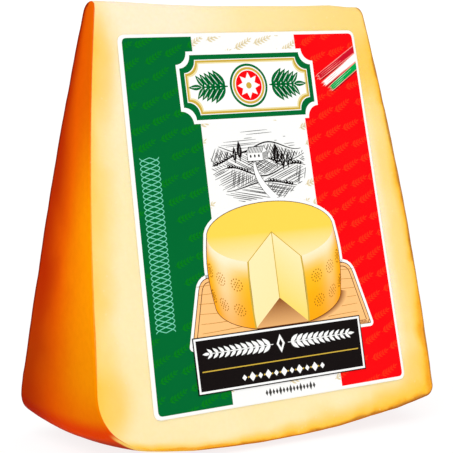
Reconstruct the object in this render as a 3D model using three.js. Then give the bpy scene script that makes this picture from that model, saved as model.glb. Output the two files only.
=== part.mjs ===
// A wedge of hard grating cheese, one sixteenth of a wheel, with the paper label on its front cut.
// It stands on the wheel's rim with its point on top. Millimetres, +Z up. X runs along the wheel's axis,
// the label faces -Y, and the origin is on the small flat that the wedge stands on, below its middle.
import * as THREE from 'three';
import { mergeVertices } from 'three/addons/utils/BufferGeometryUtils.js';

// The wheel that the wedge was cut from. Its point is on the wheel's axis, its far end is the wheel's rim.
const WHEEL_RADIUS = 119.8;
const WEDGES_IN_WHEEL = 16;
const HALF_WIDTH_AT_AXIS = 37.1;
const HALF_WIDTH_AT_RIM = 49.1;
const SIDE_SWELL = 2.5; // how far the rind swells out halfway between the axis and the rim
const RIM_BULGE = 4.7; // how much lower the rim is at its edges than at its crest
const RIM_CREST_X = -3.8;

// Rounding. The corner between the rim and the left side is soft in front and tight behind.
const LEFT_CORNER_FRONT = 12;
const LEFT_CORNER_BACK = 5;
const RIGHT_CORNER = 2.5;
const POINT_RADIUS = 2.8;
const CUT_EDGE = 0.6;
const FOOT_DEPTH = 0.6; // how much of the rim's curve the standing wedge has pressed flat

// The label, measured along the front cut
const LABEL_WIDTH = 71.6;
const LABEL_HEIGHT = 91.5;
const LABEL_TAPER = 0.067; // how much wider its lower edge is than its upper edge, as a share of its width
const LABEL_CORNER = 2.0;
const LABEL_THICKNESS = 0.3;
const LABEL_GAP = 0.3;
const LABEL_CENTRE_X = 1.55;
const LABEL_CENTRE_FROM_POINT = 64.6;
const LABEL_TURN = THREE.MathUtils.degToRad(1.35);

// Worked out from those
const HALF_ANGLE = Math.PI / WEDGES_IN_WHEEL;
const AXIS_HEIGHT = WHEEL_RADIUS - FOOT_DEPTH;
const POINT_CENTRE = POINT_RADIUS / Math.sin(HALF_ANGLE); // from the wheel's axis down to the rounding's axis
const TOP_FLAT = POINT_RADIUS * Math.tan((Math.PI / 2 - HALF_ANGLE) / 2);

// ---------------------------------------------------------------------------------------------------------
// The form, as a depth below the surface: positive inside, zero on the surface
// ---------------------------------------------------------------------------------------------------------

/** The lesser of two depths, with the edge between their faces rounded. */
function roundedMin(a, b, radius) {
  if (a > radius && b > radius) return Math.min(a, b);
  return radius - Math.hypot(Math.max(radius - a, 0), Math.max(radius - b, 0));
}

/** Half the wheel's width at a distance from its axis. */
function halfWidth(fromAxis) {
  const t = fromAxis / WHEEL_RADIUS;
  return THREE.MathUtils.lerp(HALF_WIDTH_AT_AXIS, HALF_WIDTH_AT_RIM, t) + 4 * SIDE_SWELL * t * (1 - t);
}

/** The rim's radius, which is greatest at its crest. */
function rimRadius(x) {
  return WHEEL_RADIUS - RIM_BULGE * ((x - RIM_CREST_X) / HALF_WIDTH_AT_RIM) ** 2;
}

/** The radius of the corner between the rim and a side, from the front cut to the back cut. */
function rimCorner(x, angle) {
  if (x > 0) return RIGHT_CORNER;
  const back = THREE.MathUtils.clamp((angle / HALF_ANGLE + 1) / 2, 0, 1);
  return THREE.MathUtils.lerp(LEFT_CORNER_FRONT, LEFT_CORNER_BACK, back);
}

/** Depth below the rind: the wheel's two sides and its rim. */
function depthInWheel(p) {
  const down = AXIS_HEIGHT - p.z;
  const fromAxis = Math.hypot(p.y, down);
  const corner = rimCorner(p.x, Math.atan2(p.y, down));
  return roundedMin(halfWidth(fromAxis) - Math.abs(p.x), rimRadius(p.x) - fromAxis, corner);
}

/** Depth below the two cuts and the rounded point between them. */
function depthInCuts(p) {
  const down = AXIS_HEIGHT - POINT_CENTRE - p.z;
  const y = Math.abs(p.y);
  const aboveCut = y * Math.cos(HALF_ANGLE) - down * Math.sin(HALF_ANGLE);
  const alongCut = y * Math.sin(HALF_ANGLE) + down * Math.cos(HALF_ANGLE);
  return POINT_RADIUS - (alongCut < 0 ? Math.hypot(y, down) : aboveCut);
}

function depth(p) {
  return roundedMin(depthInWheel(p), depthInCuts(p), CUT_EDGE);
}

/** Moves a point onto the surface, straight along the depth's slope. */
function ontoSurface(p) {
  const STEPS = 8;
  const NUDGE = 1e-4;
  const q = p.clone();
  const slope = new THREE.Vector3();
  for (let i = 0; i < STEPS; i++) {
    const here = depth(q);
    for (const axis of ['x', 'y', 'z']) {
      const beside = q.clone();
      beside[axis] += NUDGE;
      slope[axis] = (depth(beside) - here) / NUDGE;
    }
    q.addScaledVector(slope, -here / slope.lengthSq());
  }
  q.z = Math.max(q.z, 0); // the flat foot
  return q;
}

// ---------------------------------------------------------------------------------------------------------
// The wedge: a six-sided grid, close at its edges, laid on the form
// ---------------------------------------------------------------------------------------------------------

// Distances of the grid's lines from an edge
const FROM_SIDE = [0, 0.25, 0.45, 0.65, 1.2, 2, 3, 4.4, 6.5, 9, 12.1];
const FROM_CUT = [0, 0.25, 0.45, 0.65];
const FROM_TOP = [0, 0.3, 0.65, 1.1, 1.7, 2.4];
const ACROSS_CELLS = 12;
const THROUGH_CELLS = 8;
const DOWN_CELLS = 19;

/** The lines across a length: at given distances from its start and its end, and evenly between those. */
function gridLines(length, fromStart, fromEnd, cells) {
  const start = fromStart.at(-1);
  const end = length - fromEnd.at(-1);
  const lines = [...fromStart];
  for (let i = 1; i < cells; i++) lines.push(THREE.MathUtils.lerp(start, end, i / cells));
  return [...lines, ...fromEnd.map((d) => length - d).reverse()];
}

const ACROSS = 2 * (FROM_SIDE.length - 1) + ACROSS_CELLS;
const THROUGH = 2 * (FROM_CUT.length - 1) + THROUGH_CELLS;
const DOWN = FROM_TOP.length - 1 + DOWN_CELLS + FROM_SIDE.length - 1;

/** The grid's point (i across, j from the front cut to the back, k from the top down) on the form. */
function gridPoint(i, j, k) {
  const topDown = POINT_CENTRE - POINT_RADIUS; // the blunt top, measured down from the wheel's axis
  const down = topDown + gridLines(WHEEL_RADIUS - topDown, FROM_TOP, FROM_SIDE, DOWN_CELLS)[k];
  const halfThickness = TOP_FLAT + (down - topDown) * Math.tan(HALF_ANGLE);
  const y = gridLines(2 * halfThickness, FROM_CUT, FROM_CUT, THROUGH_CELLS)[j] - halfThickness;
  const side = halfWidth(down);
  const x = gridLines(2 * side, FROM_SIDE, FROM_SIDE, ACROSS_CELLS)[i] - side;
  // The lower rows follow the rim's curve instead of a level line.
  const lowest = Math.sqrt(rimRadius(x) ** 2 - y ** 2);
  const follow = topDown + ((down - topDown) * (lowest - topDown)) / (WHEEL_RADIUS - topDown);
  return ontoSurface(new THREE.Vector3(x, y, AXIS_HEIGHT - follow));
}

/** One side of the grid: rows by columns of points, as two triangles to a cell. */
function gridSide(rows, columns, pointAt, flip) {
  const positions = [];
  for (let row = 0; row < rows; row++) {
    for (let column = 0; column < columns; column++) {
      const [a, b, c, d] = [
        pointAt(row, column),
        pointAt(row, column + 1),
        pointAt(row + 1, column + 1),
        pointAt(row + 1, column),
      ];
      for (const corner of flip ? [a, c, b, a, d, c] : [a, b, c, a, c, d]) positions.push(...corner.toArray());
    }
  }
  return positions;
}

function makeWedgeGeometry() {
  const known = new Map();
  const at = (i, j, k) => {
    const key = `${i},${j},${k}`;
    if (!known.has(key)) known.set(key, gridPoint(i, j, k));
    return known.get(key);
  };
  const positions = [
    ...gridSide(DOWN, ACROSS, (row, column) => at(column, 0, row), true), // front cut
    ...gridSide(DOWN, ACROSS, (row, column) => at(column, THROUGH, row), false), // back cut
    ...gridSide(DOWN, THROUGH, (row, column) => at(0, column, row), false), // left side of the wheel
    ...gridSide(DOWN, THROUGH, (row, column) => at(ACROSS, column, row), true), // right side of the wheel
    ...gridSide(THROUGH, ACROSS, (row, column) => at(column, row, 0), false), // blunt point
    ...gridSide(THROUGH, ACROSS, (row, column) => at(column, row, DOWN), true), // rim
  ];
  const geometry = new THREE.BufferGeometry();
  geometry.setAttribute('position', new THREE.Float32BufferAttribute(positions, 3));
  const MERGE = 1e-3;
  const closed = mergeVertices(geometry, MERGE);
  closed.computeVertexNormals();
  return closed;
}

// ---------------------------------------------------------------------------------------------------------
// The label: a thin plate with rounded corners, a little wider at its foot
// ---------------------------------------------------------------------------------------------------------

function makeLabelGeometry() {
  const halfHeight = LABEL_HEIGHT / 2;
  const top = (LABEL_WIDTH / 2) * (1 - LABEL_TAPER / 2);
  const foot = (LABEL_WIDTH / 2) * (1 + LABEL_TAPER / 2);
  const corners = [
    new THREE.Vector2(-foot, -halfHeight),
    new THREE.Vector2(foot, -halfHeight),
    new THREE.Vector2(top, halfHeight),
    new THREE.Vector2(-top, halfHeight),
  ];
  const outline = new THREE.Shape();
  corners.forEach((corner, i) => {
    const before = corners[(i + 3) % 4].clone().sub(corner).setLength(LABEL_CORNER).add(corner);
    const after = corners[(i + 1) % 4].clone().sub(corner).setLength(LABEL_CORNER).add(corner);
    if (i === 0) outline.moveTo(before.x, before.y);
    else outline.lineTo(before.x, before.y);
    outline.quadraticCurveTo(corner.x, corner.y, after.x, after.y);
  });
  outline.closePath();
  return new THREE.ExtrudeGeometry(outline, { depth: LABEL_THICKNESS, bevelEnabled: false, curveSegments: 6 });
}

// ---------------------------------------------------------------------------------------------------------
// The two pieces
// ---------------------------------------------------------------------------------------------------------

const wedge = new THREE.Mesh(
  makeWedgeGeometry(),
  new THREE.MeshStandardMaterial({ color: 0xf3d68c, roughness: 0.45, metalness: 0 }),
);
wedge.name = 'cheese_wedge';

const label = new THREE.Mesh(
  makeLabelGeometry(),
  new THREE.MeshStandardMaterial({ color: 0xf4f3ec, roughness: 0.35, metalness: 0 }),
);
label.name = 'label';
label.rotation.set(Math.PI / 2 - HALF_ANGLE, 0, LABEL_TURN);
label.position.set(
  LABEL_CENTRE_X,
  -LABEL_CENTRE_FROM_POINT * Math.sin(HALF_ANGLE) - LABEL_GAP * Math.cos(HALF_ANGLE),
  AXIS_HEIGHT - LABEL_CENTRE_FROM_POINT * Math.cos(HALF_ANGLE) + LABEL_GAP * Math.sin(HALF_ANGLE),
);

const part = new THREE.Group();
part.add(wedge, label);

export default part;
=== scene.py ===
# %% [markdown]
# # A wedge of hard grating cheese with its paper label
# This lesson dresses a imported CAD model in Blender. The model holds two closed solids: the wedge, which
# is one sixteenth of a small wheel standing on its rim, and the label on its front cut. Here the wedge
# gets a finer mesh with real relief, and the label gets a soft edge and its print. Both stay exactly
# where the model has them: the measures of the wheel and of the label are the model's own, in
# millimetres, and the boxes that the frame gives are printed to compare with.

# %% The fixed frame
import math
import random

import bmesh
import bpy
import numpy as np
from mathutils import Matrix, Vector, noise


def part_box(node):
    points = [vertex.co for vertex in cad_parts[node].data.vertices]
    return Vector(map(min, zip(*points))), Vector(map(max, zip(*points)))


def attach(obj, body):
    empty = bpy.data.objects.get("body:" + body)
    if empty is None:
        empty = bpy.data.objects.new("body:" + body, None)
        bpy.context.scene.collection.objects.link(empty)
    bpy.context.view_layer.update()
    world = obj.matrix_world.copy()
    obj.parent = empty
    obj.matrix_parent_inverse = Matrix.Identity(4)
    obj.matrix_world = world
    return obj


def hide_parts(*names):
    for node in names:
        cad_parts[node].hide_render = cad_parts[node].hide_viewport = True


MM = 0.001
BODY = "root"

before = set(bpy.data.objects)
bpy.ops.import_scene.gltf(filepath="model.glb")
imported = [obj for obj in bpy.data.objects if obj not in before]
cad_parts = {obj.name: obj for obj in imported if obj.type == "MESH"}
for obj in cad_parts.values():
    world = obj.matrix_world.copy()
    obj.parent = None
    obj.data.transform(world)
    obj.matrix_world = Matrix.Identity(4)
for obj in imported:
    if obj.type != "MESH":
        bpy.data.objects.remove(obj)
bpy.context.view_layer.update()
wedge_low, wedge_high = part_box("cheese_wedge")
label_low, label_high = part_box("label")
print("nodes:", sorted(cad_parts))
print("wedge, mm:", [round(v / MM, 2) for v in wedge_high - wedge_low])
print("label, mm:", [round(v / MM, 2) for v in label_high - label_low])

# %% [markdown]
# ## Camera
# A product shot of a small thing is taken with a long lens from about three and a half times its height
# away. A long lens keeps the wedge's upright edges nearly parallel, and a low viewpoint makes it look
# tall. The camera is placed first because all else is judged through it.

# %% Camera at eye level, to the left of the label
CAMERA_PLACE = Vector((-199.11, -322.93, 94.95)) * MM
CAMERA_YAW = math.radians(31.495)
CAMERA_PITCH = math.radians(6.485)
CAMERA_ROLL = math.radians(-0.08)
SENSOR_WIDTH = 36.0
LENS = 119.34


def add_object(name, data):
    """Puts a mesh, a light or a camera into the scene."""
    made = bpy.data.objects.new(name, data)
    bpy.context.scene.collection.objects.link(made)
    return made


def make_camera():
    data = bpy.data.cameras.new("camera")
    data.sensor_fit = "HORIZONTAL"
    data.sensor_width = SENSOR_WIDTH
    data.lens = LENS
    camera = add_object("camera", data)
    turned = Matrix.Rotation(-CAMERA_YAW, 4, "Z") @ Matrix.Rotation(math.pi / 2 - CAMERA_PITCH, 4, "X")
    camera.matrix_world = Matrix.Translation(CAMERA_PLACE) @ turned @ Matrix.Rotation(CAMERA_ROLL, 4, "Z")
    bpy.context.scene.camera = camera
    return camera


camera = make_camera()
print("camera looks along", [round(v, 3) for v in camera.matrix_world.to_3x3() @ Vector((0, 0, -1))])

# %% [markdown]
# ## Small helpers for shader nodes
# A material is a graph, and a graph built in code is easier to read when each line makes one node and
# hands back its output. Colours are written the way a paint chart gives them, from 0 to 255, and turned
# into the linear values that a renderer needs.


# %% One node, one line
def paint(red, green, blue):
    """A colour from 0 to 255 as the linear colour that shaders use."""
    linear = []
    for channel in (red, green, blue):
        value = channel / 255
        linear.append(value / 12.92 if value <= 0.04045 else ((value + 0.055) / 1.055) ** 2.4)
    return (*linear, 1.0)


def fill(tree, socket, value):
    """Links a socket, or sets its plain value."""
    if isinstance(value, bpy.types.NodeSocket):
        tree.links.new(value, socket)
    else:
        socket.default_value = value


def add_node(tree, kind, inputs=None, **settings):
    made = tree.nodes.new(kind)
    for name, value in settings.items():
        setattr(made, name, value)
    for name, value in (inputs or {}).items():
        fill(tree, made.inputs[name], value)
    return made


def maths(tree, operation, a, b):
    return add_node(tree, "ShaderNodeMath", {0: a, 1: b}, operation=operation).outputs[0]


def product(tree, first, *others):
    """Masks multiplied with one another, or with a plain strength."""
    for other in others:
        first = maths(tree, "MULTIPLY", first, other)
    return first


def ramp(tree, value, start, end, low=0.0, high=1.0):
    """Goes smoothly from low to high as value goes from start to end."""
    inputs = {"Value": value, "From Min": start, "From Max": end, "To Min": low, "To Max": high}
    return add_node(tree, "ShaderNodeMapRange", inputs, interpolation_type="SMOOTHSTEP").outputs["Result"]


def blend_colours(tree, share, a, b):
    SHARE, A, B, RESULT = 0, 6, 7, 2  # the sockets that a Mix node uses for colours
    made = add_node(tree, "ShaderNodeMix", {SHARE: share, A: a, B: b}, data_type="RGBA")
    return made.outputs[RESULT]


def coat_over(tree, colour, coats):
    """Lays coats over a colour, one after the other. A coat is a mask and a colour."""
    for share, over in coats:
        colour = blend_colours(tree, share, colour, over)
    return colour


def measure(tree, name):
    """A number stored at the mesh's points."""
    return add_node(tree, "ShaderNodeAttribute", attribute_name=name).outputs["Fac"]


def new_material(name, roughness, specular, **constants):
    """A material with its Principled BSDF. What is the same all over is set on the shader's own sockets."""
    material = bpy.data.materials.new(name)
    material.use_nodes = True
    shader = material.node_tree.nodes["Principled BSDF"]
    shader.inputs["Roughness"].default_value = roughness
    shader.inputs["Specular IOR Level"].default_value = specular
    for socket, value in constants.items():
        shader.inputs[socket.replace("_", " ")].default_value = value
    return material, material.node_tree, shader


print("mid grey as a linear colour:", [round(channel, 3) for channel in paint(128, 128, 128)])

# %% [markdown]
# ## Two surface effects that several finishes share
# Cheese, wax, paper and ink all drift a little in tone and all have a fine grain. The two effects are
# made once as node groups. Each material then places them with its own size and strength. A group gives
# out only colours, masks and heights. The shader that uses them stays in the material, where the exporter
# can read it.


# %% Node groups: a drift of tone, and a fine grain
def new_group(name, inputs, outputs):
    group = bpy.data.node_groups.new(name, "ShaderNodeTree")
    for socket, kind in inputs:
        group.interface.new_socket(name=socket, in_out="INPUT", socket_type=kind)
    for socket, kind in outputs:
        group.interface.new_socket(name=socket, in_out="OUTPUT", socket_type=kind)
    return group, group.nodes.new("NodeGroupInput"), group.nodes.new("NodeGroupOutput")


def make_tone_drift():
    """A soft cloud, 0 to 1, whose clouds are about Size metres across."""
    group, given, result = new_group(
        "tone drift",
        [("Size", "NodeSocketFloat"), ("Offset", "NodeSocketFloat")],
        [("Cloud", "NodeSocketFloat")],
    )
    place = add_node(group, "ShaderNodeTexCoord").outputs["Object"]
    often = maths(group, "DIVIDE", 1.0, given.outputs["Size"])
    inputs = {"Vector": place, "W": given.outputs["Offset"], "Scale": often, "Detail": 2.0, "Roughness": 0.45}
    cloud = add_node(group, "ShaderNodeTexNoise", inputs, noise_dimensions="4D").outputs["Fac"]
    LOWEST, HIGHEST = 0.34, 0.66
    group.links.new(ramp(group, cloud, LOWEST, HIGHEST), result.inputs["Cloud"])
    return group


def make_fine_grain():
    """Grains about Size metres across: a height for bumps, a mask of the few palest ones, and a mottle."""
    group, given, result = new_group(
        "fine grain",
        [("Size", "NodeSocketFloat")],
        [("Height", "NodeSocketFloat"), ("Crystals", "NodeSocketFloat"), ("Mottle", "NodeSocketFloat")],
    )
    place = add_node(group, "ShaderNodeTexCoord").outputs["Object"]
    often = maths(group, "DIVIDE", 1.0, given.outputs["Size"])
    cells = add_node(group, "ShaderNodeTexVoronoi", {"Vector": place, "Scale": often})
    inputs = {"Vector": place, "Scale": often, "Detail": 3.0}
    uneven = add_node(group, "ShaderNodeTexNoise", inputs).outputs["Fac"]
    rounded_cells = maths(group, "SUBTRACT", 1.0, cells.outputs["Distance"])
    height = maths(group, "ADD", rounded_cells, uneven)
    hue = add_node(group, "ShaderNodeSeparateColor", {"Color": cells.outputs["Color"]}).outputs["Red"]
    RARE, NEAR, FAR = 0.93, 0.34, 0.2
    rare = maths(group, "GREATER_THAN", hue, RARE)
    core = ramp(group, cells.outputs["Distance"], NEAR, FAR)
    group.links.new(height, result.inputs["Height"])
    group.links.new(product(group, rare, core), result.inputs["Crystals"])
    group.links.new(uneven, result.inputs["Mottle"])
    return group


TONE_DRIFT = make_tone_drift()
FINE_GRAIN = make_fine_grain()
print("node groups:", [group.name for group in (TONE_DRIFT, FINE_GRAIN)])


def drift(tree, size, offset=0.0):
    inputs = {"Size": size, "Offset": offset}
    return add_node(tree, "ShaderNodeGroup", inputs, node_tree=TONE_DRIFT).outputs["Cloud"]


def sway(tree, cloud, reach):
    """A cloud as a distance, from minus to plus reach."""
    return ramp(tree, cloud, 0, 1, -reach, reach)


def grain(tree, size):
    return add_node(tree, "ShaderNodeGroup", {"Size": size}, node_tree=FINE_GRAIN).outputs


def mottle(tree, fine, low, high, start=0.3):
    """The grain's mottle as a value from low to high."""
    END = 0.7
    return ramp(tree, fine["Mottle"], start, END, low, high)


def finish_surface(tree, shader, colour, fine, roughness, bumps=None):
    """Links a colour, a roughness from low to high, and bumps of a strength and a height, from the grain."""
    tree.links.new(colour, shader.inputs["Base Color"])
    tree.links.new(mottle(tree, fine, *roughness), shader.inputs["Roughness"])
    if bumps:
        strength, height = bumps
        inputs = {"Height": fine["Height"], "Strength": strength, "Distance": height}
        bump = add_node(tree, "ShaderNodeBump", inputs)
        tree.links.new(bump.outputs["Normal"], shader.inputs["Normal"])


# %% [markdown]
# ## The form of the wedge
# A wheel of cheese is simple to describe: two gently swollen sides and a rim that bulges. A wedge is that
# wheel between two flat cuts. Each of these faces can be written as a depth, in millimetres, that is
# positive inside the cheese and zero on its skin. The wedge's own depth is the least of them, with the
# edges between them rounded. Any point is then brought onto the skin by walking along the depth's slope.
# The same description gives the distances from the rind that colour the cheese later.

# %% Measures of the wheel, in millimetres
WHEEL_RADIUS = 119.8
WEDGES_IN_WHEEL = 16
HALF_WIDTH_AT_AXIS = 37.1
HALF_WIDTH_AT_RIM = 49.1
SIDE_SWELL = 2.5
RIM_BULGE = 4.7
RIM_CREST_X = -3.8
LEFT_CORNER_FRONT = 12.0
LEFT_CORNER_BACK = 5.0
RIGHT_CORNER = 2.5
POINT_RADIUS = 2.8
CUT_EDGE = 0.6
FOOT_DEPTH = 0.6

HALF_ANGLE = math.pi / WEDGES_IN_WHEEL
AXIS_HEIGHT = WHEEL_RADIUS - FOOT_DEPTH
POINT_CENTRE = POINT_RADIUS / math.sin(HALF_ANGLE)
TOP_FLAT = POINT_RADIUS * math.tan((math.pi / 2 - HALF_ANGLE) / 2)


# %% The depth below each face
def rounded_min(a, b, radius):
    """The lesser of two depths, with the edge between their faces rounded."""
    outside = radius - np.hypot(np.maximum(radius - a, 0), np.maximum(radius - b, 0))
    return np.where((a > radius) & (b > radius), np.minimum(a, b), outside)


def half_width(from_axis):
    t = from_axis / WHEEL_RADIUS
    return HALF_WIDTH_AT_AXIS + (HALF_WIDTH_AT_RIM - HALF_WIDTH_AT_AXIS) * t + 4 * SIDE_SWELL * t * (1 - t)


def rim_radius(x):
    return WHEEL_RADIUS - RIM_BULGE * ((x - RIM_CREST_X) / HALF_WIDTH_AT_RIM) ** 2


def from_axis(p):
    return np.hypot(p[:, 1], AXIS_HEIGHT - p[:, 2])


def depth_below_side(p):
    return half_width(from_axis(p)) - np.abs(p[:, 0])


def depth_below_rim(p):
    return rim_radius(p[:, 0]) - from_axis(p)


def front_to_back(p):
    """0 on the front cut, 1 on the back cut."""
    angle = np.arctan2(p[:, 1], AXIS_HEIGHT - p[:, 2])
    return np.clip((angle / HALF_ANGLE + 1) / 2, 0, 1)


def depth_below_rind(p):
    left_corner = LEFT_CORNER_FRONT + (LEFT_CORNER_BACK - LEFT_CORNER_FRONT) * front_to_back(p)
    corner = np.where(p[:, 0] > 0, RIGHT_CORNER, left_corner)
    return rounded_min(depth_below_side(p), depth_below_rim(p), corner)


def depth_below_cuts(p):
    down = AXIS_HEIGHT - POINT_CENTRE - p[:, 2]
    y = np.abs(p[:, 1])
    above_cut = y * math.cos(HALF_ANGLE) - down * math.sin(HALF_ANGLE)
    along_cut = y * math.sin(HALF_ANGLE) + down * math.cos(HALF_ANGLE)
    return POINT_RADIUS - np.where(along_cut < 0, np.hypot(y, down), above_cut)


def depth(p):
    return rounded_min(depth_below_rind(p), depth_below_cuts(p), CUT_EDGE)


def slope_of_depth(p):
    NUDGE = 1e-4
    here = depth(p)
    slope = np.stack([depth(p + NUDGE * axis) - here for axis in np.eye(3)], axis=1) / NUDGE
    return here, slope


def onto_skin(p):
    STEPS = 8
    for _ in range(STEPS):
        here, slope = slope_of_depth(p)
        p = p - slope * (here / (slope**2).sum(axis=1))[:, None]
    return p


# %% [markdown]
# ## The wedge's mesh
# A sphere or a cube cannot be pushed into this shape without stretching somewhere, so the mesh is a
# box-shaped lattice that is laid on the form: its lines run close together along the edges, where the
# skin turns, and evenly over the faces. Only the lattice's outer points are used. Six sides of quads
# share their edge points, so the mesh is closed, and each side knows whether it is cut cheese or rind.

# %% Lines of the lattice, in millimetres
EDGE_STEP = 0.16
STEP_GROWTH = 1.2
FACE_STEP = 0.8
CUT_STRIP = 0.66


def close_lines(reach):
    """Distances from an edge, close at first and growing to the spacing of a face."""
    lines = [0.0]
    step = EDGE_STEP
    while lines[-1] < reach:
        lines.append(lines[-1] + step)
        step = min(step * STEP_GROWTH, FACE_STEP)
    return np.array(lines)


def spread_lines(length, near_start, near_end, cells):
    """Lines across each length: as given near both of its ends, and evenly between them."""
    length = np.atleast_1d(length)[:, None]
    share = np.arange(1, cells) / cells
    middle = near_start[-1] * (1 - share) + (length - near_end[-1]) * share
    start = np.broadcast_to(near_start, (len(length), len(near_start)))
    return np.concatenate([start, middle, length - near_end[::-1]], axis=1)


NEAR_SIDE = close_lines(4.0)
NEAR_CUT = close_lines(CUT_STRIP)
NEAR_TOP = close_lines(3.0)
ACROSS_CELLS = round(2 * (HALF_WIDTH_AT_RIM - NEAR_SIDE[-1]) / FACE_STEP)
THROUGH_CELLS = round(2 * (WHEEL_RADIUS * math.tan(HALF_ANGLE) - NEAR_CUT[-1]) / FACE_STEP)
DOWN_CELLS = round((WHEEL_RADIUS - POINT_CENTRE - NEAR_TOP[-1] - NEAR_SIDE[-1]) / FACE_STEP)


# %% The lattice laid on the form
def lay_lattice():
    """The skin's points, and for each (k down, j through, i across) of the lattice the point's number."""
    top_down = POINT_CENTRE - POINT_RADIUS
    down = top_down + spread_lines(WHEEL_RADIUS - top_down, NEAR_TOP, NEAR_SIDE, DOWN_CELLS)[0]
    half_thickness = TOP_FLAT + (down - top_down) * math.tan(HALF_ANGLE)
    y = spread_lines(2 * half_thickness, NEAR_CUT, NEAR_CUT, THROUGH_CELLS) - half_thickness[:, None]
    x = spread_lines(2 * half_width(down), NEAR_SIDE, NEAR_SIDE, ACROSS_CELLS) - half_width(down)[:, None]
    shell = np.zeros((len(down), y.shape[1], x.shape[1]), bool)
    for axis in range(3):
        ends = [slice(None)] * 3
        for end in (0, -1):
            ends[axis] = end
            shell[tuple(ends)] = True
    k, j, i = np.nonzero(shell)
    number = np.full(shell.shape, -1)
    number[k, j, i] = np.arange(len(k))
    px, py = x[k, i], y[k, j]
    lowest = np.sqrt(rim_radius(px) ** 2 - py**2)
    follow = top_down + (down[k] - top_down) * (lowest - top_down) / (WHEEL_RADIUS - top_down)
    return onto_skin(np.stack([px, py, AXIS_HEIGHT - follow], axis=1)), number


skin, lattice = lay_lattice()
SIDES = {
    "front cut": (lattice[:, 0, :], "paste"),
    "back cut": (lattice[:, -1, :], "paste"),
    "blunt point": (lattice[0, :, :], "paste"),
    "left side": (lattice[:, :, 0], "rind"),
    "right side": (lattice[:, :, -1], "rind"),
    "rim": (lattice[-1, :, :], "rind"),
}
furthest_off = float(np.abs(depth(skin)).max())
print("skin points:", len(skin), "largest distance off the form, mm:", round(furthest_off, 5))

# %% [markdown]
# ## Relief of the skin
# A wedge that was cut and pressed tight in its pack isn't perfectly flat. The cuts wave by a tenth of a
# millimetre, the waxy rind by about a quarter, and the thin edges between them are a little chipped. The
# point and the rim were cut by hand and run up and down by up to half a millimetre. The left side's back
# edge leans in by as much half way down, and out again near the rim. Relief of this size catches the
# light along an edge, so it is moved in the mesh. Grain finer than the lattice is left to the bump in the
# materials.

# %% Relief in millimetres, along the skin's own normal
CUT_WAVES = [(0.09, 17.0, 3.7), (0.025, 3.2, 8.1)]  # height, length, seed
RIND_WAVES = [(0.22, 21.0, 5.3), (0.03, 4.0, 1.9)]
CHIP, CHIP_LENGTH, CHIP_REACH, CHIP_SEED = 0.16, 4.5, 1.4, 6.6
CHIPPED = 0.2  # added to the noise: the more, the more of the edge is chipped
POINT_RISES = [  # x, how much higher the point runs there
    (-37, 0.35), (-30, 0.2), (-19, -0.25), (-8, -0.45), (6, -0.22), (20, 0.03), (30, 0.4), (36, 0.0),
]
RIM_RISES = [  # x, how much higher the rim runs there
    (-48, -0.1), (-43, 0.4), (-36, -0.15), (-24, -0.45), (-10, 0.0), (18, 0.0),
    (28, 0.25), (37, -0.1), (48, 0.1),
]
POINT_REACH, RIM_REACH = 18.0, 6.0  # how far up or down the faces these rises fade
BACK_LEANS = [  # distance from the axis, how much further in the left side's back edge runs there
    (14, 0.0), (28, 0.1), (38, 0.28), (50, 0.42), (60, 0.5), (76, 0.48), (84, 0.3), (92, 0.2), (100, 0.0),
    (106, -0.4), (109, -0.42), (112, -0.2), (115, -0.25), (120, -0.4),
]
BACK_LEAN_REACH = 12.0


def noise_at(p, length, seed):
    """Smooth noise between about -1 and 1, with waves of the given length."""
    shift = Vector((seed, -seed, 2 * seed))
    return np.array([noise.noise(Vector(q) / length + shift) for q in p])


def sum_of_waves(p, waves):
    return sum(height * noise_at(p, length, seed) for height, length, seed in waves)


def listed(pairs, at):
    """The value at each place, straight between the places in a list of (place, value)."""
    return np.interp(at, *zip(*pairs))


def fade(away, reach):
    """Goes straight from 1 to 0 as the distance away goes from 0 to reach."""
    return np.clip(1 - away / reach, 0, 1)


def add_relief(p):
    _, slope = slope_of_depth(p)
    outward = -slope / np.linalg.norm(slope, axis=1)[:, None]
    below_rind, below_cuts = depth_below_rind(p), depth_below_cuts(p)
    on_cut = np.clip(below_rind / CUT_EDGE, 0, 1)
    chipped = np.clip(noise_at(p, CHIP_LENGTH, CHIP_SEED) + CHIPPED, 0, 1)
    chips = CHIP * fade(below_rind + below_cuts, CHIP_REACH) * chipped
    wavy = on_cut * sum_of_waves(p, CUT_WAVES) + (1 - on_cut) * sum_of_waves(p, RIND_WAVES)
    moved = p + outward * (wavy - chips)[:, None]
    at_point, at_rim = fade(from_axis(p) - POINT_CENTRE, POINT_REACH), fade(depth_below_rim(p), RIM_REACH)
    moved[:, 2] += at_point * listed(POINT_RISES, p[:, 0]) + at_rim * listed(RIM_RISES, p[:, 0])
    at_left = fade(depth_below_side(p), BACK_LEAN_REACH) * (p[:, 0] < 0)
    moved[:, 0] += at_left * front_to_back(p) * listed(BACK_LEANS, from_axis(p))
    moved[:, 2] = np.maximum(moved[:, 2], 0)  # the small flat that the wedge stands on
    return moved


relieved = add_relief(skin)
print("relief, mm:", round(float(np.linalg.norm(relieved - skin, axis=1).max()), 3), "at most")

# %% [markdown]
# ## Colour as measures stored at the points
# A cut shows how a cheese ripened: pale inside, more golden and drier towards the rind. What a material
# needs for this is not a picture but a few plain measures at every point, such as how far the rind is.
# They are worked out here from the form, before the relief, and stored in the mesh, so the shader only
# has to mix colours.
#
# The wheel dried more on its right side than on its left. There the golden band is wider and ends in a
# thin brown line, and the butter colour reaches in over the top. A few rounded patches dried more than
# the rest.

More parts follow.
